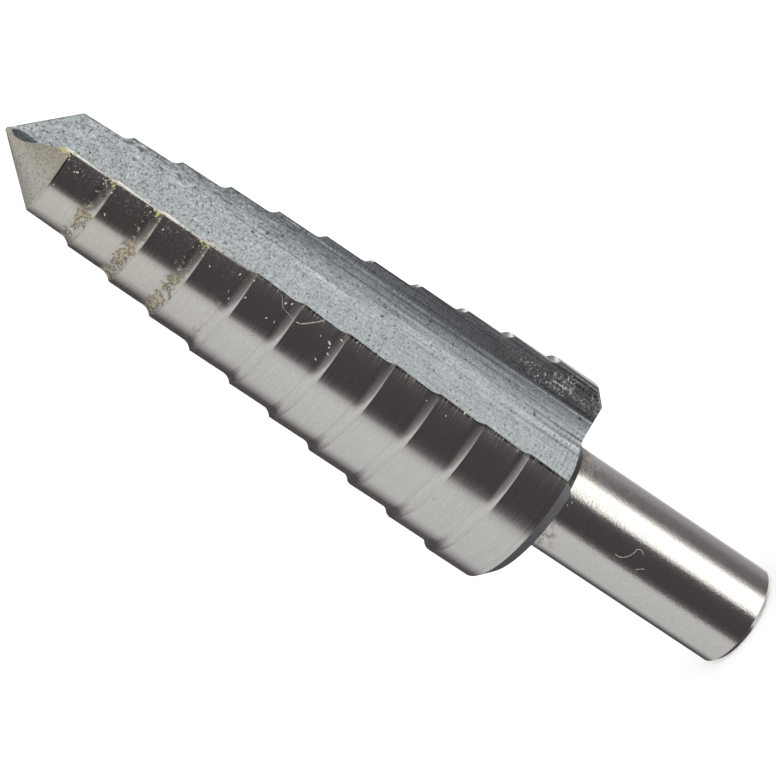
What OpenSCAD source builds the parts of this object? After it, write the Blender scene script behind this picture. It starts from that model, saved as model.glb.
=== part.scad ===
// Step drill: eleven ground lands of rising diameter on a ninety-degree point,
// two straight hooked flutes that run out through the back of the head,
// and a plain round shank. Millimetres. The foot of the shank stands on Z = 0,
// the drill's own axis is Z, and the point is at the top.

/* [Steps] */
// Diameter of the first land, next to the point
first_d = 10; // [9.6:0.1:11]
// How much each land is wider than the one before it
step_rise = 1; // [0.8:0.1:1.1]
// Distance from the corner of one land to the corner of the next
step_pitch = 4.5; // [4:0.1:5]
// Number of shoulders, so there is one more land than this
shoulders = 10; // [8:1:11]
// Length of the concave shoulder in front of each corner
cove_len = 1; // [0.8:0.05:1.2]
// How far each half of the head is ground off centre, which relieves the lands
relief = 0.04; // [0.03:0.01:0.08]

/* [Point] */
// Included angle of the point
point_angle = 90; // [80:1:110]
// Width of the blunt end that grinding leaves on the point
tip_flat = 0.24; // [0.1:0.02:0.4]
// Steel left between the two flutes at the point
web = 0.24; // [0.2:0.01:0.6]

/* [Back of the head] */
// Length of the last and widest land
last_land = 4; // [3.5:0.1:6]
// Chamfer behind the last land
back_chamfer = 1.1; // [0.8:0.1:1.5]
// Height of the cone between the shank and the back face, out from the shank
neck_rise = 1.2; // [1:0.1:1.5]
// Length of that cone
neck_len = 1.1; // [1:0.1:1.4]
// Hollow of that cone, as the radius it is turned to
neck_r = 3; // [2.5:0.1:6]

/* [Shank] */
// Diameter of the shank
shank_d = 9.5; // [9:0.1:10]
// Length of the shank behind the head
shank_len = 22; // [20:0.5:35]
// Chamfer at the foot of the shank
end_chamfer = 0.5; // [0.3:0.1:1]

/* [Flutes] */
// Angle by which a flute's floor climbs away from the axis towards the shank
flute_slope = 6; // [5.7:0.1:6.4]
// Slope of the floor between the root and the bend, across the flute
floor_angle = 27; // [24:1:30]
// Slope of the far wall, across the flute
wall_angle = 8.8; // [6:0.2:12]
// Hook of the cutting face: how far it leans back under its lip
hook_angle = 31; // [27:1:34]
// Radius at the root of the flute, below the cutting face
root_r = 1.4; // [1:0.1:1.6]
// Radius where the floor bends into the far wall
bend_r = 7; // [5:0.5:9]
// Distance of that bend from the middle of the drill
bend_x = 5.2; // [4.8:0.1:5.8]
// Side distance of the cutting face from the axis, on the line through lip_y
lip_x = 1.5; // [1.3:0.05:1.8]
// Depth on the cutting face at which lip_x holds, in the plane of the tip
lip_y = 4.22; // [4:0.05:4.5]

/* [Hidden] */
$fn = 96;
// Circles and turned faces are whole circles.
point_len = first_d / 2 / tan(point_angle / 2);
head_len = point_len + shoulders * step_pitch + last_land + back_chamfer;
total = shank_len + head_len;
last_r = first_d / 2 + shoulders * step_rise / 2;
shank_r = shank_d / 2;

// The shift along the parting line lies about 36 degrees from each lip, so a
// land turned this much smaller is at its full size where it cuts.
lip_drop = relief * cos(36);

// Direction of the parting line between the two halves: it lies inside both flutes.
split = -45;
half_overlap = 0.1;

// Radius of the arc that leaves a land square to the shoulder and reaches
// the next corner after cove_len.
cove_r = (cove_len * cove_len + step_rise * step_rise / 4) / step_rise;

// Arcs are cut this much deeper than their faces, so that the two meet in a
// clear edge and not in a mere touch.
bite = 0.003;

function corner_z(i) = total - point_len - i * step_pitch;
function land_r(i) = first_d / 2 + i * step_rise / 2 - lip_drop;

// Corners of the turned head as [radius, height], from the tip down.
tip_r = tip_flat / 2;
tip_z = total - (lip_drop + tip_r) / tan(point_angle / 2);
tip_end = [[0, tip_z], [tip_r, tip_z]];
first_corner = [[land_r(0), corner_z(0)]];
step_corners = [
    for (i = [1 : shoulders], end = [0, 1])
        end == 0
            ? [land_r(i - 1), corner_z(i) + cove_len]
            : [land_r(i), corner_z(i)]
];
back_end = [
    [last_r - lip_drop, shank_len + back_chamfer],
    [last_r - lip_drop - back_chamfer, shank_len],
    [0, shank_len]
];

// Hollow of the neck: an arc through both ends of its cone.
neck_top = [shank_r + neck_rise, shank_len];
neck_foot = [shank_r, shank_len - neck_len];
neck_chord = neck_top - neck_foot;
neck_deep = sqrt(neck_r * neck_r - neck_chord * neck_chord / 4);
neck_side = [neck_chord[1], -neck_chord[0]] / norm(neck_chord);
neck_mid = (neck_top + neck_foot) / 2;
neck_c = neck_mid + neck_side * neck_deep;

// One flute across, drawn in the plane of the tip. The cutting face and the
// floor meet in the root corner, and the floor bends into the far wall.
floor_dir = [cos(floor_angle), sin(floor_angle)];
wall_dir = [cos(wall_angle), sin(wall_angle)];
face_dir = [sin(hook_angle), -cos(hook_angle)];
floor_start = [0, -web / 2 / cos(floor_angle)];
lip_ref = [lip_x, -lip_y];
to_lip = lip_ref - floor_start;
side_a = to_lip[0] * face_dir[1] - to_lip[1] * face_dir[0];
side_b = floor_dir[0] * face_dir[1] - floor_dir[1] * face_dir[0];
root = floor_start + floor_dir * side_a / side_b;

// Rounding of the root corner.
root_half = acos(floor_dir * face_dir) / 2;
root_run = root_r / tan(root_half);
root_mid = (floor_dir + face_dir) / norm(floor_dir + face_dir);
root_c = root + root_mid * root_r / sin(root_half);

// Rounding of the bend.
bend = floor_start + floor_dir * bend_x / cos(floor_angle);
bend_run = bend_r * tan((floor_angle - wall_angle) / 2);
bend_c = bend - floor_dir * bend_run + [sin(floor_angle), -cos(floor_angle)] * bend_r;

// A length that reaches out past the widest land from anywhere in the drill.
reach = 3 * last_r;

module head_outline() {
    difference() {
        polygon(concat(tip_end, first_corner, step_corners, back_end));
        for (i = [1 : shoulders])
            translate([land_r(i - 1) + cove_r, corner_z(i) + cove_len])
                circle(cove_r + bite);
    }
}

// Half of the head, turned off centre along the parting line. It reaches a
// little past that line into the other half.
module relieved_half() {
    intersection() {
        translate([relief * cos(split), relief * sin(split), 0])
            rotate_extrude()
                head_outline();
        rotate([0, 0, split])
            translate([-reach, -2 * reach, 0])
                cube([2 * reach, 2 * reach + half_overlap, total + 1]);
    }
}

// A sector of a circle about centre, between the ways to two points, and with
// the point called middle somewhere between them.
module sector(centre, from, middle, to, radius) {
    intersection() {
        polygon([
            centre,
            centre + (from - centre) * 1.5,
            centre + (middle - centre) * 2,
            centre + (to - centre) * 1.5
        ]);
        translate(centre)
            circle(radius);
    }
}

// Shank with its foot chamfer and the hollow cone that joins it to the head.
module shank() {
    rotate_extrude()
        difference() {
            polygon([
                [0, 0],
                [shank_r - end_chamfer, 0],
                [shank_r, end_chamfer],
                neck_foot,
                neck_top,
                neck_top + [0, 1],
                [0, shank_len + 1]
            ]);
            sector(neck_c, neck_foot, neck_mid, neck_top, neck_r);
        }
}

module flute_outline() {
    polygon([
        root + face_dir * root_run,
        root + floor_dir * root_run,
        bend - floor_dir * bend_run,
        bend + wall_dir * bend_run,
        bend + wall_dir * reach,
        [reach, -reach],
        root + face_dir * reach
    ]);
    sector(root_c, root + face_dir * root_run * 1.3, root,
        root + floor_dir * root_run * 1.3, root_r + bite);
    sector(bend_c, bend - floor_dir * bend_run * 1.4, bend,
        bend + wall_dir * bend_run * 1.4, bend_r + bite);
}

// The flute as a straight bar, tilted so that it leaves the axis towards the shank.
module flute() {
    translate([0, 0, total])
        rotate([-flute_slope, 0, 0])
            translate([0, 0, -head_len - 4])
                linear_extrude(head_len + 8)
                    flute_outline();
}

module fluted() {
    difference() {
        children();
        flute();
        rotate([0, 0, 180])
            flute();
    }
}

module step_drill() {
    color([0.6, 0.6, 0.58]) {
        for (turn = [0, 180])
            rotate([0, 0, turn])
                fluted()
                    relieved_half();
        fluted()
            shank();
    }
}

step_drill();
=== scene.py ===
"""Looks of the step drill: its steel, the swarf and lint on it, and the studio round it."""

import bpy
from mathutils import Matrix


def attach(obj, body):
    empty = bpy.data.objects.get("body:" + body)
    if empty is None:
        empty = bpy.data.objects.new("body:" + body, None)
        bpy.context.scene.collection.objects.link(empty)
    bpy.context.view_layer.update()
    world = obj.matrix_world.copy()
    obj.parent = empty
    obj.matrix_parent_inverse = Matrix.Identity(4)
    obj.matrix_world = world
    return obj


bl_info = {
    "name": "Step drill looks",
    "version": (1, 0, 0),
    "blender": (4, 5, 0),
    "location": "3D View > Sidebar > Step drill",
    "description": "Finishes the packed step drill and sets up its studio",
    "category": "3D View",
}

import math
import random

import bmesh
import bpy
from mathutils import Matrix, Vector

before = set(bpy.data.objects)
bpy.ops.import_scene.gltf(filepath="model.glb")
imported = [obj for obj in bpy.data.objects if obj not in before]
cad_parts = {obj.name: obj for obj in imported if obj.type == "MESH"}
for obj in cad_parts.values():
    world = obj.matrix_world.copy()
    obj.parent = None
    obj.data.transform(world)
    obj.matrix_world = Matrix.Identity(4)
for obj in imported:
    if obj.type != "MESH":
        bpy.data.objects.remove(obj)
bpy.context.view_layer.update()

MM = 0.001
# The two kinds of node used most. RAMP maps its value from low..high to
# first..last, which are 0..1 where they are left out, and holds it there beyond.
MATH = "ShaderNodeMath"
RAMP = "ShaderNodeMapRange"
# Sizes of the drill that the finish follows, in millimetres from the tip.
TOTAL = 77.1
POINT_LEN = 5.0
PITCH = 4.5
LANDS = 11
FIRST_R = 5.0
RISE = 0.5
COVE = 1.0
LAST_LAND_END = 54.0
HEAD_END = 55.1
NECK_END = 56.2
LAST_R = 10.0
SHANK_R = 4.75
# Radius of the hollow of a shoulder.
COVE_R = 1.25
# How far the lip lies from the drill's middle, across.
LIP_X = 1.55
# Threads of lint: their thickness as a share of the common one, and places as
# millimetres from the tip, degrees round from the camera's side, and
# millimetres above the steel.
LINT = {
    "lint_on_land": (1.15, (
        (29.71, 12.2, 0.02), (29.5, 9.6, 0.05), (29.2, 7.2, 0.06), (28.63, 3.5, 0.03), (28.07, 0.4, 0.05),
        (27.75, -0.1, 0.02))),
    "lint_across_shoulder": (0.5, (
        (27.6, -0.1, 0.02), (26.91, 1.6, 0.03), (26.23, 3.3, 0.03), (25.85, 7.3, 0.04), (25.5, 10.4, 0.02))),
    "lint_on_shank": (0.9, (
        (64.84, -0.8, 0.02), (64.39, 1.7, 0.05), (64.12, 0.2, 0.04), (64.03, -5.0, 0.03),
        (63.62, -13.3, 0.05), (63.2, -16.5, 0.04), (62.75, -16.5, 0.02))),
    "lint_by_shank_thread": (0.9, ((65.11, -18.7, 0.02), (65.23, -16.5, 0.05), (65.65, -12.8, 0.02))),
}
# Chips of swarf, as millimetres from the tip, degrees round, and length.
CHIPS = (
    (6.35, 2.6, 0.24), (6.12, 1.4, 0.16), (10.05, -14.4, 0.2), (8.91, 7.4, 0.24), (8.65, 11.0, 0.2),
    (14.61, 2.2, 0.18), (18.47, 9.5, 0.2), (19.38, -1.3, 0.16), (5.35, -19.1, 0.16), (9.34, 14.7, 0.22),
    (9.73, 13.4, 0.2), (12.58, 11.8, 0.18), (21.85, 5.9, 0.2), (23.02, 7.3, 0.16), (26.24, 6.3, 0.24),
    (26.72, 8.3, 0.2), (23.18, -5.4, 0.18), (26.31, -8.1, 0.2), (25.58, -9.0, 0.18), (31.01, 0.6, 0.34),
    (31.2, -2.0, 0.2), (31.39, -5.6, 0.26), (30.84, -12.7, 0.2), (31.69, 6.0, 0.26), (32.85, 9.7, 0.16),
    (43.53, 9.4, 0.28), (40.32, 3.8, 0.14), (42.29, 2.6, 0.14), (30.08, 1.2, 0.14), (21.83, -8.8, 0.16),
    (22.2, -13.1, 0.16), (56.9, 3.0, 0.14), (56.7, -1.6, 0.14),
)
# Distance from the tip of the corners where more chips have gathered at the lip.
SPRAYED = (4.9, 9.3, 13.8, 18.3)
# How far a flute's floor moves out for each millimetre from the tip: 6 degrees.
FLUTE_CLIMB = 0.105
# Lines along a flute, as millimetres from the drill's middle. Beyond the first
# the far wall keeps its dark scale, and the second carries a painted highlight, a pale line below it.
WALL_LINE = 7.0
BORDER = 6.76
# Pitch of the chatter marks, where the cutter left the head.
CHATTER = 0.42
# Chips that gather at each corner, their thickness, and the seed of the draw.
CHIPS_A_CORNER = 9
CHIP_THICKNESS = 0.03
CHIP_SEED = 5
# Glow that makes the floor white to the camera and still lets the shadow show.
FLOOR_GLOW = 0.34
# Height of the middle of the paper tent, in metres.
TENT_MIDDLE = 0.04


def linear(hex_colour):
    """Turns an sRGB hex colour into the linear values that shaders take."""
    parts = [int(hex_colour[i:i + 2], 16) / 255 for i in (1, 3, 5)]
    return [c / 12.92 if c <= 0.04045 else ((c + 0.055) / 1.055) ** 2.4 for c in parts]


def node(tree, kind, *inputs, **settings):
    """Adds one node. Inputs fill its sockets in order; None leaves one as it is."""
    made = tree.nodes.new(kind)
    named = settings.pop("named", {})
    for key, value in settings.items():
        setattr(made, key, value)
    pairs = [(i, v) for i, v in enumerate(inputs)] + list(named.items())
    for key, value in pairs:
        if value is None:
            continue
        if isinstance(value, bpy.types.Node):
            value = value.outputs[0]
        if isinstance(value, bpy.types.NodeSocket):
            tree.links.new(value, made.inputs[key])
        elif isinstance(value, (list, tuple)) and len(value) == 3 and made.inputs[key].type == "RGBA":
            made.inputs[key].default_value = (*value, 1)
        else:
            made.inputs[key].default_value = value
    return made


def emptied(block):
    """Gives a material or a world an empty node tree."""
    block.use_nodes = True
    block.node_tree.nodes.clear()
    return block.node_tree


def colour(name, description, default):
    return bpy.props.FloatVectorProperty(
        name=name, description=description, subtype="COLOR", size=3, min=0, max=1,
        default=linear(default))


class STEPDRILL_PG_steel(bpy.types.PropertyGroup):
    """Finish of the steel."""
    ground: colour("Ground steel", "Lands, point and shank, bright from the wheel", "#D4D3CE")
    milled: colour("Milled steel", "Flutes, blue-grey and matt", "#A6ACAF")
    point: colour("Point", "Point, yellowed by heat and oil", "#C9C09E")
    nick: colour("Nicks", "Bright steel where chips have rubbed the far wall", "#DDE0E2")
    scale: colour("Heat scale", "Chamfer behind the head and neck", "#8E8F95")
    grind_pitch: bpy.props.FloatProperty(
        name="Grinding line pitch", description="Distance between the fine lines round the lands",
        default=0.12, min=0.05, max=0.6)
    ground_roughness: bpy.props.FloatProperty(
        name="Ground roughness", description="Roughness of the lands", default=0.155, min=0, max=1)
    shank_roughness: bpy.props.FloatProperty(
        name="Shank roughness", description="Roughness of the shank", default=0.12, min=0, max=1)
    milled_roughness: bpy.props.FloatProperty(
        name="Milled roughness", description="Roughness of the flutes", default=0.36, min=0, max=1)
    scratch_pitch: bpy.props.FloatProperty(
        name="Scratch pitch", description="Distance between the long scratches in the flutes",
        default=0.24, min=0.05, max=1.0)
    pit_size: bpy.props.FloatProperty(
        name="Pit size", description="Distance between the dark pits in the flutes",
        default=0.55, min=0.2, max=2.0)


class STEPDRILL_PG_dirt(bpy.types.PropertyGroup):
    """What use has left on the steel."""
    swarf: colour("Brass swarf", "Specks stuck at the lips", "#B0A566")
    chip: colour("Chip", "Loose curled chips on the lands", "#F0EBDC")
    oil: colour("Oil film", "Dark fringe at the lips, and films in the shoulders", "#4C4632")
    # Colour of the worn burr and of the painted highlight on it, and of the painted glints.
    burr_and_highlight: colour("Worn burr", "Bright line worn along the first lips", "#F4F2E8")
    residue: colour("Dried coolant", "Tan crust in the first shoulders", "#B4A67C")
    stain: colour("Coolant stain", "Brown stain at the shank's neck and round the crust", "#6E5A32")
    lint: colour("Lint", "Pale threads stuck to a land and to the shank", "#CCC8BA")
    lint_radius: bpy.props.FloatProperty(
        name="Lint radius", description="Half the thickness of a thread, in millimetres",
        default=0.034, min=0.01, max=0.1)


class STEPDRILL_PG_studio(bpy.types.PropertyGroup):
    """Camera, lights and floor."""
    focal: bpy.props.FloatProperty(
        name="Focal length", description="Focal length on a 36 mm sensor", default=148.2, min=20, max=400)
    distance: bpy.props.FloatProperty(
        name="Camera distance", description="From the camera to the point it looks at",
        default=0.27126, min=0.05, max=3, unit="LENGTH")
    elevation: bpy.props.FloatProperty(
        name="Camera elevation", description="Height of the camera above the level",
        default=math.radians(14.17), subtype="ANGLE")
    roll: bpy.props.FloatProperty(
        name="Camera roll", description="Turn of the camera that lays the drill across the picture",
        default=math.radians(56.283), subtype="ANGLE")
    aim: bpy.props.FloatVectorProperty(
        name="Aim", description="Point that the camera looks at", size=3, subtype="TRANSLATION",
        default=(-0.000334, 0, 0.03794))
    floor_size: bpy.props.FloatProperty(
        name="Floor size", description="Width of the floor", default=6, min=1, max=20, unit="LENGTH")
    floor_colour: colour("Floor", "Pale floor", "#F2F2F0")
    level: bpy.props.FloatProperty(
        name="Light level", description="Radiance of the surroundings on a matt surface",
        default=0.9, min=0, max=3)


def places(tree):
    """Splits the drill into its surfaces from its own sizes.

    Returns sockets: distances in millimetres, across and from the tip among
    them, the place along a land, and masks from 0 to 1.
    """
    coords = node(tree, "ShaderNodeTexCoord")
    mm = node(tree, "ShaderNodeVectorMath", coords.outputs["Object"], named={3: 1000.0}, operation="SCALE")
    axes = node(tree, "ShaderNodeSeparateXYZ", mm)
    x, y, z = axes.outputs
    flat = node(tree, "ShaderNodeCombineXYZ", x, y, 0.0)
    r = node(tree, "ShaderNodeVectorMath", flat, operation="LENGTH").outputs["Value"]
    d = node(tree, MATH, TOTAL, z, operation="SUBTRACT")
    along = node(tree, MATH, d, POINT_LEN, operation="SUBTRACT")
    steps = node(tree, MATH, along, PITCH, operation="DIVIDE")
    whole = node(tree, MATH, steps, operation="FLOOR")
    number = node(tree, "ShaderNodeClamp", whole, 0.0, LANDS - 1.0)
    start = node(tree, MATH, number, PITCH, operation="MULTIPLY")
    place = node(tree, MATH, along, start, operation="SUBTRACT")
    # Radius that the turned outline has here: land, shoulder, point or chamfer.
    land_r = node(tree, MATH, number, RISE, FIRST_R, operation="MULTIPLY_ADD")
    rise = node(tree, RAMP, place, PITCH - COVE, PITCH, 0.0, RISE)
    before_last = node(tree, MATH, number, LANDS - 1.5, operation="LESS_THAN")
    cove_r = node(tree, MATH, rise, before_last, land_r, operation="MULTIPLY_ADD")
    cone_r = node(tree, MATH, cove_r, d, operation="MINIMUM")
    chamfer_r = node(tree, MATH, LAST_R + LAST_LAND_END, d, operation="SUBTRACT")
    outline = node(tree, MATH, cone_r, chamfer_r, operation="MINIMUM")
    inside = node(tree, MATH, outline, r, operation="SUBTRACT")
    deep = node(tree, RAMP, inside, 0.2, 0.32, 0.0, 1.0)
    head = node(tree, MATH, d, HEAD_END - 0.03, operation="LESS_THAN")
    # A flute's walls face across the way out from the axis, right to their edges.
    outward = node(tree, "ShaderNodeVectorMath", flat, coords.outputs["Normal"], operation="DOT_PRODUCT")
    outward = node(tree, MATH, outward.outputs["Value"], r, operation="DIVIDE")
    walls = node(tree, RAMP, outward, 0.3, 0.4, 1.0, 0.0)
    deep = node(tree, MATH, deep, walls, operation="MAXIMUM")
    flute = node(tree, MATH, deep, head, operation="MULTIPLY")
    # The flutes run out through the neck too, where all but their floors faces the foot.
    faces = node(tree, "ShaderNodeSeparateXYZ", coords.outputs["Normal"])
    up = node(tree, MATH, faces.outputs[2], 0.02, operation="GREATER_THAN")
    neck = node(tree, MATH, d, NECK_END - 0.05, operation="LESS_THAN")
    in_neck = node(tree, MATH, neck, head, operation="SUBTRACT")
    in_neck = node(tree, MATH, in_neck, up, operation="MULTIPLY")
    flute = node(tree, MATH, flute, in_neck, operation="MAXIMUM")
    shank = node(tree, RAMP, d, NECK_END - 0.05, NECK_END + 0.05, 0.0, 1.0)
    behind = node(tree, RAMP, d, LAST_LAND_END - 0.03, LAST_LAND_END + 0.03, 0.0, 1.0)
    not_shank = node(tree, MATH, 1.0, shank, operation="SUBTRACT")
    not_flute = node(tree, MATH, 1.0, flute, operation="SUBTRACT")
    scale = node(tree, MATH, behind, not_shank, operation="MULTIPLY")
    scale = node(tree, MATH, scale, not_flute, operation="MULTIPLY")
    # The two halves are alike, so the far one is read as the near one turned over.
    side = node(tree, MATH, y, operation="SIGN")
    across = node(tree, MATH, x, side, operation="MULTIPLY")
    across = node(tree, MATH, across, -1.0, operation="MULTIPLY")
    depth = node(tree, MATH, y, operation="ABSOLUTE")
    from_lip = node(tree, MATH, LIP_X, across, operation="SUBTRACT")
    # A flute is read by how far it is from the middle, for it lies on one side of
    # it, and by its depth below the line that its floor climbs along.
    climb = node(tree, MATH, d, -FLUTE_CLIMB, operation="MULTIPLY")
    sunk = node(tree, MATH, depth, climb, operation="ADD")
    off_middle = node(tree, MATH, x, operation="ABSOLUTE")
    return {"mm": mm.outputs[0], "r": r, "d": d.outputs[0], "place": place.outputs[0],
            "flute": flute.outputs[0], "shank": shank.outputs[0], "scale": scale.outputs[0],
            "across": across.outputs[0], "depth": depth.outputs[0], "from_lip": from_lip.outputs[0],
            "off_middle": off_middle.outputs[0], "not_flute": not_flute.outputs[0], "sunk": sunk.outputs[0],
            "inside": inside.outputs[0]}


def product(tree, *factors):
    """Multiplies all its factors together."""
    made = factors[0]
    for factor in factors[1:]:
        made = node(tree, MATH, made, factor, operation="MULTIPLY")
    return made


def largest(tree, *values):
    """The largest of its values."""
    made = values[0]
    for value in values[1:]:
        made = node(tree, MATH, made, value, operation="MAXIMUM")
    return made


def close_to(tree, value, middle, full, none):
    """1 where value is within full of middle, falling to 0 at none."""
    away = node(tree, MATH, value, middle, operation="SUBTRACT")
    away = node(tree, MATH, away, operation="ABSOLUTE")
    return node(tree, RAMP, away, full, none, 1.0, 0.0)


def patterns(tree, at, steel):
    """Noises and cells that all the finishes share. Sizes in millimetres.

    The wheel's real lines and the real grain are finer. Both are drawn as coarse
    as they need to be to show from where the camera is.
    """
    mm = at["mm"]
    squeeze = node(tree, "ShaderNodeMapping", mm, named={"Scale": (0.25, 0.25, 1 / steel.grind_pitch)})
    # Scratches run along the flute, so their noise is stretched that way.
    near = node(tree, MATH, at["off_middle"], 1 / steel.scratch_pitch, operation="MULTIPLY")
    under = node(tree, MATH, at["sunk"], 1 / steel.scratch_pitch, operation="MULTIPLY")
    along = node(tree, MATH, at["d"], 0.06, operation="MULTIPLY")
    stretch = node(tree, "ShaderNodeCombineXYZ", near, under, along)

    def noise(place, scale, detail, roughness):
        made = node(tree, "ShaderNodeTexNoise", place,
                    named={"Scale": scale, "Detail": detail, "Roughness": roughness})
        return made.outputs[0]

    def cells(spacing):
        made = node(tree, "ShaderNodeTexVoronoi", mm, named={"Scale": 1 / spacing, "Randomness": 1.0})
        luck = node(tree, "ShaderNodeSeparateXYZ", made.outputs["Color"])
        return made.outputs["Distance"], luck, spacing

    return {"lines": noise(squeeze, 1.0, 2.0, 0.6), "scratches": noise(stretch, 1.0, 3.0, 0.7),
            "grain": noise(mm, 4.7, 2.0, 0.6), "mottle": noise(mm, 1.7, 5.0, 0.65),
            "cloud": noise(mm, 0.7, 2.0, 0.5), "small": cells(steel.pit_size),
            "large": cells(steel.pit_size * 2.5)}


def specks(tree, cells, radius, chance, channel=0):
    """Round specks in some of the cells, from 0 to 1."""
    distance, luck, spacing = cells
    chosen = node(tree, MATH, luck.outputs[channel], chance, operation="GREATER_THAN")
    reach = radius / spacing
    return product(tree, chosen, node(tree, RAMP, distance, reach * 0.5, reach, 1.0, 0.0))


def ground_steel(tree, at, mix, steel):
    """Lands, point and shank: fine lines round the lands, a mottled shank, a pitted point."""
    # The point is duller and rougher than the lands, with dark marks all over it.
    point = node(tree, RAMP, at["d"], 4.9, 5.05, 1.0, 0.0)
    pitted = product(tree, node(tree, RAMP, mix["grain"], 0.44, 0.34, 0.0, 0.38), point)
    curved = product(tree, close_to(tree, mix["mottle"], 0.5, 0.008, 0.016), point, 0.3)
    # A narrow dark worn line runs round the first corner, and dark dots lie on the lands.
    corner = product(tree, close_to(tree, at["d"], POINT_LEN + 0.09, 0.05, 0.1),
                     node(tree, RAMP, at["across"], -2.4, -1.0, 0.15, 0.5))
    dots = product(tree, specks(tree, mix["large"], 0.11, 0.6), 0.45)
    # A thin dark line runs round where each shoulder starts, and the shoulders
    # are darker towards the lip.
    on_land = node(tree, MATH, at["d"], POINT_LEN, operation="GREATER_THAN")
    start = product(tree, close_to(tree, at["place"], PITCH - COVE + 0.03, 0.03, 0.09),
                    node(tree, RAMP, mix["grain"], 0.4, 0.55), 0.18, on_land)
    shoulders_darker_to_lip = product(tree, node(tree, RAMP, at["place"], PITCH - COVE + 0.1, PITCH - 0.45),
                     node(tree, RAMP, at["across"], -1.8, 1.3, 0.0, 0.55),
                     node(tree, RAMP, at["across"], 3.0, 2.0),
                     node(tree, RAMP, at["d"], 49.5, 49.7, 1.0, 0.0), on_land)
    marks = largest(tree, pitted, curved, corner, dots, start, shoulders_darker_to_lip)
    clean = node(tree, MATH, 1.0, marks, operation="SUBTRACT")
    # The lines run round the lands only.
    quiet = node(tree, RAMP, at["shank"], 0.0, 1.0, 1.0, 0.12)
    fine = node(tree, MATH, node(tree, RAMP, mix["lines"], 0.3, 0.7, -0.07, 0.04), quiet, 1.0,
                operation="MULTIPLY_ADD")
    tone = product(tree, fine, node(tree, RAMP, mix["grain"], 0.3, 0.7, 0.93, 1.05), clean)
    # Oil yellows the point, and the first lands a little.
    yellowed = product(tree, point, node(tree, RAMP, mix["mottle"], 0.35, 0.65, 0.6, 1.0),
                       node(tree, RAMP, at["across"], -3.6, 0.8, 0.15, 0.62))
    yellowed = largest(tree, yellowed, node(tree, RAMP, at["d"], 14.0, 26.0, 0.14, 0.0))
    base = node(tree, "ShaderNodeMix", data_type="RGBA",
                named={0: yellowed.outputs[0], 6: list(steel.ground) + [1], 7: list(steel.point) + [1]})
    skin = node(tree, "ShaderNodeVectorMath", base.outputs[2], named={3: tone.outputs[0]},
                operation="SCALE")
    land_rough = node(tree, RAMP, mix["lines"], 0.35, 0.65, steel.ground_roughness * 0.8,
                      steel.ground_roughness * 1.3)
    shank_rough = node(tree, RAMP, mix["mottle"], 0.35, 0.65, steel.shank_roughness * 0.7,
                       steel.shank_roughness * 1.4)
    rough = node(tree, "ShaderNodeMix", data_type="FLOAT",
                 named={0: at["shank"], 2: land_rough.outputs[0], 3: shank_rough.outputs[0]})
    rough = node(tree, MATH, point, 0.2, rough.outputs[0], operation="MULTIPLY_ADD")
    # Heights in metres: the lines on the head, the mottle on the shank and the point.
    soft = largest(tree, at["shank"], point)
    hard = node(tree, MATH, 1.0, soft, operation="SUBTRACT")
    lumps = node(tree, MATH, mix["grain"], 1.5, mix["mottle"], operation="MULTIPLY_ADD")
    soft_height = product(tree, lumps, soft, node(tree, RAMP, at["shank"], 0.0, 1.0, 0.000016, 0.0000062))
    height = node(tree, MATH, product(tree, mix["lines"], hard), 0.0000035, soft_height,
                  operation="MULTIPLY_ADD")
    return skin.outputs[0], rough.outputs[0], product(tree, height, at["not_flute"])


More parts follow.
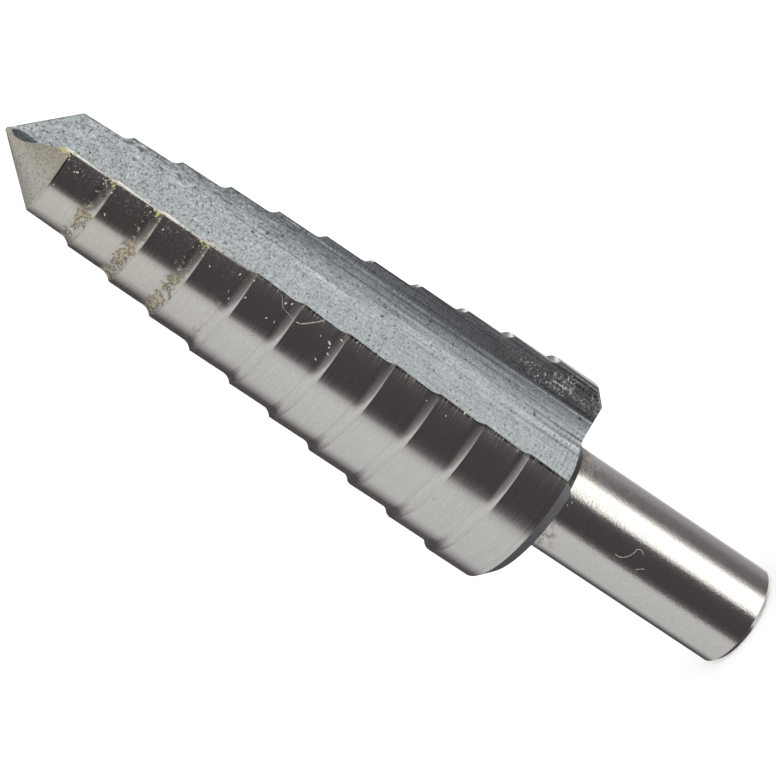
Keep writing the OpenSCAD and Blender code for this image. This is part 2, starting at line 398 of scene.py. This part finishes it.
def milled_steel(tree, at, mix, steel):
    """Flutes: a matt pale floor with dark grain and pits, straight scratches and a
    painted highlight where it bends up, painted shade by the tip, and a dark far wall that keeps its scale,
    with bright nicks and painted glints."""
    off = at["off_middle"]
    grain = mix["grain"]
    # Scratches hardly show on the floor and most on the bend.
    bend = node(tree, RAMP, off, 3.4, 5.2, 0.3, 1.0)
    scratch = node(tree, MATH, node(tree, RAMP, mix["scratches"], 0.47, 0.36, 0.0, 0.5),
                   node(tree, RAMP, mix["scratches"], 0.55, 0.66, 0.0, -0.4), operation="ADD")
    ends = product(tree, bend, node(tree, RAMP, at["d"], 47.0, 53.0, 1.0, 1.6),
                   node(tree, RAMP, at["d"], 12.0, 24.0, 1.45, 1.0))
    scratch = node(tree, MATH, product(tree, scratch, ends), -1.0, 1.0, operation="MULTIPLY_ADD")
    pits = product(tree, specks(tree, mix["small"], 0.11, 0.38),
                   node(tree, RAMP, off, 6.6, 6.0, 0.0, -0.75))
    small = node(tree, MATH, pits, 1.0, operation="ADD")
    large = node(tree, MATH, specks(tree, mix["large"], 0.2, 0.75, 1), -0.7, 1.0,
                 operation="MULTIPLY_ADD")
    # The far wall keeps its dark scale above a line along the flute, and the
    # floor darkens slowly towards it. A painted highlight runs as one pale line along the border.
    ragged = node(tree, MATH, grain, 0.35, off, operation="MULTIPLY_ADD")
    wall = node(tree, RAMP, ragged, WALL_LINE - 0.12, WALL_LINE + 0.12)
    border_highlight = product(tree, close_to(tree, off, BORDER, 0.03, 0.08),
                     node(tree, RAMP, grain, 0.4, 0.56, 0.25, 0.75))
    border_highlight = node(tree, MATH, border_highlight, 1.0, operation="ADD")
    # The grain is coarsest near the tip, with short dark worm marks in it.
    worms = product(tree, close_to(tree, mix["mottle"], 0.455, 0.008, 0.016), -0.45)
    worms = node(tree, MATH, worms, 1.0, operation="ADD")
    grit = product(tree, node(tree, RAMP, grain, 0.45, 0.34, 1.0, 0.4),
                   node(tree, RAMP, grain, 0.53, 0.66, 1.0, 1.4), worms)
    grit = node(tree, MATH, grit, 1.0, operation="SUBTRACT")
    grit = node(tree, MATH, grit, node(tree, RAMP, at["d"], 10.0, 40.0, 1.0, 0.55), 1.0,
                operation="MULTIPLY_ADD")
    # The bend carries a painted highlight and is darker beyond it, and the wall's scale is darkest near the
    # back.
    bend_highlight = product(tree, node(tree, RAMP, off, 4.9, 5.8, 0.98, 1.2),
                      node(tree, RAMP, off, 5.9, 6.5, 1.0, 0.77))
    scaled = node(tree, MATH, node(tree, RAMP, at["d"], 28.0, 47.0, -0.09, -0.57), wall, 1.0,
                  operation="MULTIPLY_ADD")
    # The cutter chattered where it left the head: short lines across the floor.
    wave = node(tree, MATH, at["d"], 2 * math.pi / CHATTER, operation="MULTIPLY")
    wave = node(tree, MATH, mix["mottle"], 9.0, wave, operation="MULTIPLY_ADD")
    wave = node(tree, MATH, wave, operation="SINE")
    chatter = product(tree, node(tree, RAMP, wave, 0.4, 0.95), node(tree, RAMP, at["d"], 49.5, 53.5),
                      node(tree, RAMP, off, 5.6, 5.0), node(tree, RAMP, mix["cloud"], 0.42, 0.55), -0.3)
    chatter = node(tree, MATH, chatter, 1.0, operation="ADD")
    # Next to the tip, painted shade darkens the flute along the edge of the point.
    painted_tip_shade_top = node(tree, RAMP, at["d"], 0.5, 1.15, 0.26, 0.57)
    painted_tip_shade = node(tree, MATH, painted_tip_shade_top, off, operation="SUBTRACT")
    painted_tip_shade = product(tree, node(tree, RAMP, painted_tip_shade, -0.02, 0.05), node(tree, RAMP, at["d"], 0.3, 0.5),
                     node(tree, RAMP, at["d"], 2.75, 2.95, 1.0, 0.0),
                     node(tree, RAMP, at["d"], 0.5, 2.8, -0.78, -0.68))
    painted_tip_shade = node(tree, MATH, painted_tip_shade, 1.0, operation="ADD")
    tone = product(tree, chatter, scratch, grit, node(tree, RAMP, mix["cloud"], 0.35, 0.65, 0.95, 1.05),
                   small, large, bend_highlight, scaled, border_highlight, painted_tip_shade,
                   node(tree, RAMP, at["inside"], 0.1, 0.22, 0.6, 1.0))
    skin = node(tree, "ShaderNodeVectorMath", list(steel.milled), named={3: tone.outputs[0]},
                operation="SCALE")
    # Bright nicks where chips have rubbed the scale off the wall near the back.
    strokes = product(tree, close_to(tree, mix["mottle"], 0.5, 0.01, 0.018),
                      node(tree, RAMP, grain, 0.5, 0.55))
    nicks = largest(tree, strokes, specks(tree, mix["small"], 0.09, 0.5, 1))
    nicks = product(tree, nicks, node(tree, RAMP, at["d"], 44.5, 49.0),
                    node(tree, RAMP, at["d"], 51.6, 52.8, 1.0, 0.6))
    rubbed = node(tree, MATH, close_to(tree, at["d"], 51.2, 0.3, 1.8), 0.14, grain,
                  operation="MULTIPLY_ADD")
    # These glints are painted: bright dashes where light catches the nicks.
    glints = product(tree, node(tree, RAMP, mix["scratches"], 0.55, 0.6),
                     node(tree, RAMP, rubbed, 0.6, 0.64), close_to(tree, off, 8.3, 0.5, 0.8),
                     close_to(tree, at["d"], 51.2, 1.2, 1.6))
    patch_top = node(tree, MATH, node(tree, RAMP, at["d"], 49.5, 51.5, 8.45, 9.5), off,
                     operation="SUBTRACT")
    nicks = product(tree, largest(tree, nicks, glints), node(tree, RAMP, off, 6.9, 7.6),
                    node(tree, RAMP, patch_top, -0.1, 0.2), at["flute"])
    rough = node(tree, RAMP, wall, 0.0, 1.0, steel.milled_roughness, steel.milled_roughness * 0.8)
    height = node(tree, MATH, mix["scratches"], 0.6, grain, operation="MULTIPLY_ADD")
    height = product(tree, height, at["flute"], 0.000018)
    return skin.outputs[0], rough.outputs[0], height, nicks


def dirt_on(tree, at, mix):
    """Where brass dust, the worn burr and its painted highlight, painted glints, dried coolant and stains
    sit, from 0 to 1.
    """
    d = at["d"]
    grain = mix["grain"]
    front = node(tree, MATH, at["depth"], at["r"], operation="DIVIDE")
    head = node(tree, MATH, 1.0, at["shank"], operation="SUBTRACT")
    front = product(tree, node(tree, RAMP, front, 0.6, 0.8), at["not_flute"], head,
                    node(tree, RAMP, at["from_lip"], -0.5, -0.2))

    # Worn burr with a painted highlight on it: a thin bright line on the lip, strong on the first lands.
    worn = node(tree, RAMP, d, 15.0, 24.0, 1.0, 0.0)
    burr_and_highlight = product(tree, node(tree, RAMP, at["from_lip"], 0.2, 0.34, 1.0, 0.0), worn,
                   node(tree, RAMP, grain, 0.36, 0.44, 0.35, 1.0))

    # Brass dust: clumps at the lip where each of the first shoulders ends.
    near_corner = largest(tree, close_to(tree, at["place"], PITCH - 0.2, 0.2, 0.8),
                          close_to(tree, d, POINT_LEN - 0.35, 0.2, 0.8))
    clump = product(tree, node(tree, RAMP, at["from_lip"], 0.3, 1.0, 1.0, 0.0), near_corner,
                    node(tree, RAMP, d, 19.0, 24.0, 1.0, 0.0))
    thick = node(tree, MATH, clump, 0.26, grain, operation="MULTIPLY_ADD")
    some = node(tree, MATH, clump, 0.02, operation="GREATER_THAN")
    dust = product(tree, node(tree, RAMP, thick, 0.66, 0.72), some, front)

    # Sparkles: painted glints on single grains and on hair scratches, thinning out towards the back.
    keep = product(tree, mix["cloud"], node(tree, RAMP, d, 5.0, 40.0, 1.0, 0.1))
    on_land = node(tree, MATH, d, POINT_LEN, operation="GREATER_THAN")
    sparkle = product(tree, specks(tree, mix["small"], 0.07, 0.6, 2), node(tree, RAMP, keep, 0.24, 0.36),
                      on_land, node(tree, RAMP, at["from_lip"], 1.2, 3.0, 1.0, 0.0))
    # Short pale ticks hang from the lip, where lines of the wheel end in it.
    ticks = product(tree, node(tree, RAMP, mix["lines"], 0.55, 0.63, 0.0, 0.34),
                    node(tree, RAMP, at["from_lip"], 0.1, 0.45, 1.0, 0.0),
                    node(tree, RAMP, grain, 0.4, 0.52))
    hair_glints = product(tree, close_to(tree, mix["mottle"], 0.5, 0.003, 0.006),
                   node(tree, RAMP, grain, 0.52, 0.57, 0.0, 0.55),
                   node(tree, RAMP, at["from_lip"], 1.0, 2.6, 1.0, 0.0), worn)
    bright = product(tree, largest(tree, sparkle, hair_glints, burr_and_highlight, ticks), front)

    # Dried coolant: tan crust with a thin brown rim in the first shoulders, well
    # below the lip, and thickest on the second.
    where = product(tree, close_to(tree, at["place"], PITCH - 0.72, 0.3, 0.95),
                    node(tree, RAMP, at["across"], -0.9, -2.2, 0.2, 1.0),
                    node(tree, RAMP, d, 18.6, 22.5, 1.0, 0.0), node(tree, RAMP, d, 9.5, 12.5, 0.8, 1.0),
                    on_land, at["not_flute"])
    load = node(tree, MATH, where, 0.2, mix["mottle"], operation="MULTIPLY_ADD")
    load = node(tree, MATH, grain, 0.14, load, operation="MULTIPLY_ADD")
    present = node(tree, MATH, where, 0.04, operation="GREATER_THAN")
    crust = product(tree, node(tree, RAMP, load, 0.735, 0.81, 0.0, 0.7), present)
    smear = product(tree, node(tree, RAMP, load, 0.6, 0.72, 0.0, 0.22), present,
                    node(tree, RAMP, at["across"], -0.8, -1.8))
    rim = product(tree, close_to(tree, load, 0.748, 0.004, 0.016), present,
                  node(tree, RAMP, mix["cloud"], 0.4, 0.6, 0.2, 0.85))
    # A thin dark fringe of oil lies along the lip, and films of it in the shoulders.
    fringe = product(tree, close_to(tree, at["from_lip"], 0.05, 0.07, 0.18),
                     node(tree, RAMP, grain, 0.42, 0.54, 0.35, 0.9), node(tree, RAMP, d, 18.0, 26.0))
    film = product(tree, close_to(tree, at["place"], PITCH - 0.5, 0.35, 1.0),
                   node(tree, RAMP, mix["mottle"], 0.46, 0.56),
                   node(tree, RAMP, at["across"], -2.0, 0.2, 0.0, 0.4),
                   node(tree, RAMP, d, 15.0, 22.0, 1.0, 0.0), on_land)
    oil = product(tree, largest(tree, fringe, film), front)

    # Stains: brown where coolant has dried against the neck, on the shank.
    foot = product(tree, node(tree, RAMP, d, NECK_END + 0.1, NECK_END + 2.6, 1.0, 0.0), at["shank"],
                   node(tree, RAMP, at["off_middle"], 1.8, 3.0))
    soak = node(tree, MATH, foot, 0.16, mix["mottle"], operation="MULTIPLY_ADD")
    stain = largest(tree, product(tree, node(tree, RAMP, soak, 0.57, 0.66, 0.0, 0.85), foot), rim, smear)
    return bright, dust, crust, stain, oil


def drill_steel(steel, dirt):
    """High-speed steel: ground bright, milled matt in the flutes, blued by heat at the neck.

    To the eye the lands and shank mirror the room in soft bands broken by fine
    lines that run round them, the flutes are a pale blue-grey with long
    scratches and dark pits, and brass dust and dried coolant sit at the lips.
    """
    mat = bpy.data.materials.new("High-speed steel, ground and milled")
    tree = emptied(mat)
    at = places(tree)
    mix = patterns(tree, at, steel)
    ground, ground_rough, ground_height = ground_steel(tree, at, mix, steel)
    milled, milled_rough, milled_height, nicks = milled_steel(tree, at, mix, steel)
    bright, dust, crust, stain, oil = dirt_on(tree, at, mix)

    # The scale is darkest in the neck beside the flute.
    beside = product(tree, node(tree, RAMP, at["across"], 0.5, 1.0, 0.0, -0.58),
                     node(tree, RAMP, at["d"], HEAD_END - 0.05, HEAD_END))
    beside = node(tree, MATH, beside, 1.0, operation="ADD")
    # Tones of the scale, the crust and the dust, which all follow the grain.
    shades = []
    patchy = product(tree, beside, node(tree, RAMP, mix["grain"], 0.3, 0.7, 0.85, 1.12))
    for paint, tone in ((steel.scale, patchy),
                        (dirt.residue, node(tree, RAMP, mix["grain"], 0.36, 0.64, 0.7, 1.2)),
                        (dirt.swarf, node(tree, RAMP, mix["grain"], 0.42, 0.66, 0.4, 1.5))):
        shade = node(tree, "ShaderNodeVectorMath", list(paint), named={3: tone.outputs[0]},
                     operation="SCALE")
        shades.append(shade.outputs[0])
    scale, residue, swarf = shades
    skin = ground
    for mask, above in ((at["flute"], milled), (at["scale"], scale), (oil, list(dirt.oil) + [1]),
                        (nicks, list(steel.nick) + [1]), (stain, list(dirt.stain) + [1]), (crust, residue),
                        (dust, swarf), (bright, list(dirt.burr_and_highlight) + [1])):
        skin = node(tree, "ShaderNodeMix", data_type="RGBA", named={0: mask, 6: skin, 7: above}).outputs[2]

    cover = largest(tree, crust, dust, bright, nicks, product(tree, stain, 0.6))
    rough = ground_rough
    for mask, above in ((at["flute"], milled_rough), (at["scale"], 0.42), (cover, 0.6)):
        rough = node(tree, "ShaderNodeMix", data_type="FLOAT",
                     named={0: mask, 2: rough, 3: above}).outputs[0]
    # A thin grey scale keeps the flutes from mirroring like bare metal.
    bare = node(tree, MATH, at["flute"], -0.35, 1.0, operation="MULTIPLY_ADD")
    metal = node(tree, MATH, 1.0, cover, operation="SUBTRACT")
    metal = product(tree, metal, bare)

    height = node(tree, MATH, ground_height, milled_height, operation="ADD")
    height = node(tree, MATH, crust, 0.00014, height, operation="MULTIPLY_ADD")
    bump = node(tree, "ShaderNodeBump",
                named={"Strength": 1.0, "Distance": 1.0, "Height": height.outputs[0]})
    shader = node(tree, "ShaderNodeBsdfPrincipled",
                  named={"Base Color": skin, "Metallic": metal.outputs[0], "Roughness": rough,
                         "Normal": bump.outputs[0]})
    node(tree, "ShaderNodeOutputMaterial", shader.outputs[0])
    return mat


def spot(d, degrees, lift):
    """A place on the drill, in metres, and the way out from its axis there.

    d is millimetres from the tip, degrees go round from the camera's side
    towards +X, and lift is millimetres above the steel.
    """
    number = max(0, min(LANDS - 1, int((d - POINT_LEN) / PITCH)))
    into_cove = max(0.0, d - POINT_LEN - number * PITCH - (PITCH - COVE))
    r = FIRST_R + number * RISE + COVE_R - math.sqrt(COVE_R ** 2 - min(into_cove, COVE) ** 2)
    if d < POINT_LEN:
        r = d
    if d > NECK_END:
        r = SHANK_R
    angle = math.radians(degrees)
    out = Vector((math.sin(angle), -math.cos(angle), 0))
    return (out * (r + lift) + Vector((0, 0, TOTAL - d))) * MM, out


def rides(name, mesh, mat):
    """Makes a piece of a mesh and lets it ride with the drill."""
    obj = bpy.data.objects.new(name, mesh)
    bpy.context.scene.collection.objects.link(obj)
    mesh.materials.append(mat)
    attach(obj, "root")


def thread(name, points, radius, mat):
    """A thin thread through places on the drill."""
    curve = bpy.data.curves.new(name, "CURVE")
    curve.dimensions = "3D"
    curve.bevel_depth = radius * MM
    curve.bevel_resolution = 2
    curve.resolution_u = 6
    curve.use_fill_caps = True
    spline = curve.splines.new("BEZIER")
    spline.bezier_points.add(len(points) - 1)
    for point, place in zip(spline.bezier_points, points):
        point.co = spot(*place)[0]
        point.handle_left_type = point.handle_right_type = "AUTO"
    shape = bpy.data.objects.new(name, curve)
    mesh = bpy.data.meshes.new_from_object(shape)
    bpy.data.objects.remove(shape)
    bpy.data.curves.remove(curve)
    for face in mesh.polygons:
        face.use_smooth = True
    rides(name, mesh, mat)


def curled_chips(name, lying, mat):
    """Small curled strips of swarf that lie on the lands, all in one piece."""
    draw = random.Random(CHIP_SEED)
    # Rings of corners along each chip.
    parts = 5
    lying = list(lying)
    for corner in SPRAYED:
        # The head's radius grows by 1 mm in 9.
        lip = math.degrees(math.asin(LIP_X / (corner / 9 + 4.5)))
        for _ in range(CHIPS_A_CORNER):
            d = corner + draw.uniform(-0.9, 0.25)
            degrees = lip - 1.0 - 9 * draw.random() ** 2
            lying.append((d, degrees, draw.uniform(0.08, 0.18)))
    bm = bmesh.new()
    for d, degrees, size in lying:
        centre, out = spot(d, degrees, 0.01)
        turn = draw.uniform(0, math.pi)
        along = Vector((0, 0, 1)) * math.cos(turn) + out.cross(Vector((0, 0, 1))) * math.sin(turn)
        side = out.cross(along)
        width = size * draw.uniform(0.3, 0.6)
        curl = draw.uniform(0.3, 0.9)
        rings = []
        for i in range(parts):
            s = 2 * i / (parts - 1) - 1
            half = width / 2 * (1 - 0.4 * s * s)
            lift = curl * size / 2 * s * s
            ring = []
            for w, h in ((-half, 0), (half, 0), (half, CHIP_THICKNESS), (-half, CHIP_THICKNESS)):
                away = along * (s * size / 2) + side * w + out * (lift + h)
                ring.append(bm.verts.new(centre + away * MM))
            rings.append(ring)
        for a, b in zip(rings, rings[1:]):
            for i in range(4):
                bm.faces.new((a[i], a[(i + 1) % 4], b[(i + 1) % 4], b[i]))
        bm.faces.new(rings[0][::-1])
        bm.faces.new(rings[-1])
    bmesh.ops.recalc_face_normals(bm, faces=bm.faces)
    mesh = bpy.data.meshes.new(name)
    bm.to_mesh(mesh)
    bm.free()
    rides(name, mesh, mat)


def two_toned(name, colour, darkest, spacing, roughness, metallic):
    """A finish whose colour varies between full and darkest over a spacing in millimetres."""
    mat = bpy.data.materials.new(name)
    tree = emptied(mat)
    coords = node(tree, "ShaderNodeTexCoord")
    noise = node(tree, "ShaderNodeTexNoise", coords.outputs["Object"],
                 named={"Scale": 1 / (spacing * MM), "Detail": 2.0, "Roughness": 0.6})
    tone = node(tree, RAMP, noise, 0.35, 0.65, darkest, 1.0)
    skin = node(tree, "ShaderNodeVectorMath", list(colour), named={3: tone.outputs[0]}, operation="SCALE")
    shader = node(tree, "ShaderNodeBsdfPrincipled",
                  named={"Base Color": skin.outputs[0], "Roughness": roughness, "Metallic": metallic})
    node(tree, "ShaderNodeOutputMaterial", shader.outputs[0])
    return mat


class STEPDRILL_OT_lint(bpy.types.Operator):
    """Lay the threads of lint on a land and on the shank"""
    bl_idname = "step_drill.lint"
    bl_label = "Lint"

    def execute(self, context):
        dirt = context.scene.step_drill_dirt
        # Pale cotton: to the eye soft off-white threads with no shine, greyer in places.
        mat = two_toned("Cotton lint, stuck by oil", dirt.lint, 0.5, 0.3, 0.8, 0.0)
        for name, (share, points) in LINT.items():
            thread(name, points, dirt.lint_radius * share, mat)
        return {"FINISHED"}


class STEPDRILL_OT_chips(bpy.types.Operator):
    """Scatter the curled chips of swarf on the lands"""
    bl_idname = "step_drill.chips"
    bl_label = "Chips"

    def execute(self, context):
        dirt = context.scene.step_drill_dirt
        # Brass and steel torn off by the lips: to the eye tiny pale sparks on the dark of the lands.
        mat = two_toned("Brass and steel swarf, torn", dirt.chip, 0.7, 0.25, 0.45, 0.2)
        curled_chips("swarf_chips", CHIPS, mat)
        return {"FINISHED"}


class STEPDRILL_OT_steel(bpy.types.Operator):
    """Finish the drill's steel"""
    bl_idname = "step_drill.steel"
    bl_label = "Steel"

    def execute(self, context):
        scene = context.scene
        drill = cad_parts["step_drill"]
        if not drill.material_slots:
            raise RuntimeError("the drill has no slot for its steel")
        mat = drill_steel(scene.step_drill_steel, scene.step_drill_dirt)
        for slot in drill.material_slots:
            slot.material = mat
        return {"FINISHED"}


def tent(bands, radius=0.8):
    """A paper tent all round the drill, which only the steel's reflections see."""
    bm = bmesh.new()
    bmesh.ops.create_icosphere(bm, subdivisions=5, radius=radius,
                               matrix=Matrix.Translation((0, 0, TENT_MIDDLE)))
    bmesh.ops.reverse_faces(bm, faces=bm.faces)
    mesh = bpy.data.meshes.new("tent")
    bm.to_mesh(mesh)
    bm.free()
    obj = bpy.data.objects.new("tent", mesh)
    bpy.context.scene.collection.objects.link(obj)
    mesh.materials.append(tent_paper(bands))
    obj.visible_camera = False
    obj.visible_diffuse = False
    obj.visible_shadow = False
    obj.visible_transmission = False
    obj.visible_volume_scatter = False


def tent_paper(bands):
    """Black, grey and lit white paper side by side.

    bands are (degrees above the level, tones at that height), and the tones are
    (degrees round from the camera's side towards +X, brightness up to 2).
    """
    mat = bpy.data.materials.new("Tent of black, grey and lit white paper")
    tree = emptied(mat)
    coords = node(tree, "ShaderNodeTexCoord")
    axes = node(tree, "ShaderNodeSeparateXYZ", coords.outputs["Object"])
    ahead = node(tree, MATH, axes.outputs["Y"], -1.0, operation="MULTIPLY")
    angle = node(tree, MATH, axes.outputs["X"], ahead, operation="ARCTAN2")
    turn = node(tree, RAMP, angle, -math.pi, math.pi, 0.0, 1.0)
    flat = node(tree, "ShaderNodeCombineXYZ", axes.outputs["X"], axes.outputs["Y"], 0.0)
    out = node(tree, "ShaderNodeVectorMath", flat, operation="LENGTH").outputs["Value"]
    up = node(tree, MATH, axes.outputs["Z"], TENT_MIDDLE, operation="SUBTRACT")
    rise = node(tree, MATH, up, out, operation="ARCTAN2")
    paper = None
    below = None
    for height, tones in bands:
        band = node(tree, "ShaderNodeValToRGB", turn)
        stops = band.color_ramp.elements
        while len(stops) < len(tones):
            stops.new(0.5)
        for stop, (degrees, level) in zip(stops, tones):
            stop.position = (degrees + 180) / 360
            # Halved, for a ramp's colours are best kept below 1. Black paper is a
            # little purple, and lit paper a little yellow.
            glow = min(1, max(0, level - 0.9))
            stop.color = (level / 2 + 0.004, level / 2 * (1 - 0.01 * glow) - 0.001,
                          level / 2 * (1 - 0.06 * glow) + 0.003, 1)
        tone = band.outputs[0]
        if paper is None:
            paper = tone
        else:
            share = node(tree, RAMP, rise, math.radians(below), math.radians(height), 0.0, 1.0)
            paper = node(tree, "ShaderNodeMix", data_type="RGBA",
                         named={0: share.outputs[0], 6: paper, 7: tone})
            paper = paper.outputs[2]
        below = height
    glow = node(tree, "ShaderNodeEmission", paper, 2.0)
    node(tree, "ShaderNodeOutputMaterial", glow.outputs[0])
    return mat


def looked_at(tree):
    """1 on the rays that show a surface itself, and 0 on those that light others."""
    light = node(tree, "ShaderNodeLightPath")
    seen = node(tree, MATH, light.outputs["Is Camera Ray"], light.outputs["Is Glossy Ray"],
                operation="MAXIMUM")
    return node(tree, MATH, seen, light.outputs["Is Transmission Ray"], operation="MAXIMUM")


def floor_paper(stage):
    """Pale paper floor. To the camera it is white, and it keeps the drill's shadow."""
    mat = bpy.data.materials.new("White background paper")
    tree = emptied(mat)
    paper = node(tree, "ShaderNodeBsdfDiffuse", list(stage.floor_colour) + [1])
    glow = node(tree, "ShaderNodeEmission", (1, 1, 1, 1), FLOOR_GLOW)
    both = node(tree, "ShaderNodeAddShader", paper.outputs[0], glow.outputs[0])
    mix = node(tree, "ShaderNodeMixShader", looked_at(tree), paper.outputs[0], both.outputs[0])
    node(tree, "ShaderNodeOutputMaterial", mix.outputs[0])
    return mat


class STEPDRILL_OT_studio(bpy.types.Operator):
    """Set up the floor, the lights and the camera"""
    bl_idname = "step_drill.studio"
    bl_label = "Studio"

    def execute(self, context):
        scene = context.scene
        stage = scene.step_drill_studio
        scene.view_settings.view_transform = "Standard"

        half = stage.floor_size / 2
        mesh = bpy.data.meshes.new("floor")
        corners = [(-half, -half, 0), (half, -half, 0), (half, half, 0), (-half, half, 0)]
        mesh.from_pydata(corners, [], [(0, 1, 2, 3)])
        floor = bpy.data.objects.new("floor", mesh)
        scene.collection.objects.link(floor)
        mesh.materials.append(floor_paper(stage))
        # The steel sees the tent's lower half where the floor would be.
        floor.visible_glossy = False

        world = bpy.data.worlds.new("white room")
        tree = emptied(world)
        level = node(tree, RAMP, looked_at(tree), 0.0, 1.0, stage.level, 1.0)
        sky = node(tree, "ShaderNodeBackground", (1, 1, 1, 1), level.outputs[0])
        node(tree, "ShaderNodeOutputWorld", sky.outputs[0])
        scene.world = world

        # Tones as the bands in the shank, the lands, the shoulders and the point show them.
        low = ((-180, 0.16), (-172, 0.08), (-148, 0.1), (-124, 0.66), (-60, 0.72), (-53, 0.62),
               (-47, 0.14), (-34, 0.07), (0, 0.08), (16, 0.13), (22, 1.1), (29, 1.9), (60, 1.9),
               (72, 0.5), (82, 0.18), (106, 0.2), (125, 0.36), (150, 0.45), (165, 0.8), (180, 0.8))
        level = ((-180, 0.16), (-172, 0.08), (-142, 0.1), (-118, 0.7), (-60, 0.77), (-49, 0.68),
                 (-43, 0.14), (-34, 0.07), (0, 0.08), (36, 0.1), (42, 1.0), (48, 1.7), (66, 1.7),
                 (78, 0.6), (88, 0.45), (100, 0.7), (118, 0.9), (142, 0.9), (158, 0.25), (180, 0.16))
        # The first lands mirror this band, and are dark further in from their lower edges.
        first = ((-180, 0.16), (-172, 0.07), (-136, 0.09), (-106, 0.69)) + level[4:]
        # The shoulders' edges along the top of the picture mirror this band.
        rim = first[:16] + ((142, 0.9), (150, 1.1), (165, 1.1), (172, 0.3), (180, 0.1))
        # The point's edge there mirrors this one, and is dark.
        crest = level[:15] + ((104, 0.5), (120, 0.08), (160, 0.08), (180, 0.2))
        over = ((-180, 0.2), (-150, 0.3), (-124, 0.66), (-60, 0.8), (-51, 0.68), (-43, 0.27), (-30, 0.2),
                (0, 0.17), (40, 0.2), (80, 0.45), (105, 0.65), (120, 0.1), (150, 0.1), (180, 0.3))
        high = ((-180, 0.5), (-100, 0.7), (-60, 0.74), (-40, 0.42), (0, 0.32), (60, 0.38), (100, 0.7),
                (140, 0.5), (180, 0.5))
        top = ((-180, 0.8), (-40, 0.84), (0, 0.7), (60, 0.72), (125, 0.8), (180, 0.9))
        tent(((-19, low), (-15.5, level), (-13, level), (-9.5, first), (-5, first), (0, rim), (6, rim),
              (14, crest), (33, over), (74, high), (84, top)))

        def lamp(name, place, size, watts):
            data = bpy.data.lights.new(name, "AREA")
            data.shape = "SQUARE"
            data.size = size
            data.energy = watts
            obj = bpy.data.objects.new(name, data)
            scene.collection.objects.link(obj)
            obj.location = place
            aim = Vector((0, 0, TENT_MIDDLE)) - Vector(place)
            obj.rotation_euler = aim.to_track_quat("-Z", "Y").to_euler()
            obj.visible_glossy = False

        lamp("key", (0.55, -0.5, 0.7), 0.5, 0.8)
        lamp("fill", (-0.7, -0.3, 0.6), 0.6, 0.4)

        cam_data = bpy.data.cameras.new("camera")
        cam_data.lens = stage.focal
        cam_data.sensor_width = 36
        cam_data.clip_start = 0.01
        cam_data.clip_end = 20
        camera = bpy.data.objects.new("camera", cam_data)
        scene.collection.objects.link(camera)
        e = stage.elevation
        back = Vector((0, -math.cos(e), math.sin(e)))
        turn = (-back).to_track_quat("-Z", "Y").to_matrix().to_4x4()
        camera.matrix_world = (Matrix.Translation(Vector(stage.aim) + back * stage.distance)
                               @ turn @ Matrix.Rotation(-stage.roll, 4, "Z"))
        scene.camera = camera
        return {"FINISHED"}


class STEPDRILL_PT_panel(bpy.types.Panel):
    """Lists the drill's finish, dirt and studio"""
    bl_label = "Step drill"
    bl_idname = "STEPDRILL_PT_panel"
    bl_space_type = "VIEW_3D"
    bl_region_type = "UI"
    bl_category = "Step drill"

    def draw(self, context):
        scene = context.scene
        for group, calls in (("step_drill_steel", ("step_drill.steel",)),
                             ("step_drill_dirt", ("step_drill.lint", "step_drill.chips")),
                             ("step_drill_studio", ("step_drill.studio",))):
            box = self.layout.box()
            settings = getattr(scene, group)
            for name in settings.__annotations__:
                box.prop(settings, name)
            for call in calls:
                box.operator(call)


CLASSES = (
    STEPDRILL_PG_steel,
    STEPDRILL_PG_dirt,
    STEPDRILL_PG_studio,
    STEPDRILL_OT_steel,
    STEPDRILL_OT_lint,
    STEPDRILL_OT_chips,
    STEPDRILL_OT_studio,
    STEPDRILL_PT_panel,
)


def register():
    for cls in CLASSES:
        bpy.utils.register_class(cls)
    bpy.types.Scene.step_drill_steel = bpy.props.PointerProperty(type=STEPDRILL_PG_steel)
    bpy.types.Scene.step_drill_dirt = bpy.props.PointerProperty(type=STEPDRILL_PG_dirt)
    bpy.types.Scene.step_drill_studio = bpy.props.PointerProperty(type=STEPDRILL_PG_studio)


def unregister():
    del bpy.types.Scene.step_drill_studio
    del bpy.types.Scene.step_drill_dirt
    del bpy.types.Scene.step_drill_steel
    for cls in reversed(CLASSES):
        bpy.utils.unregister_class(cls)


def main():
    register()
    bpy.ops.step_drill.studio()
    bpy.ops.step_drill.steel()
    bpy.ops.step_drill.lint()
    bpy.ops.step_drill.chips()


if __name__ == "__main__":
    main()
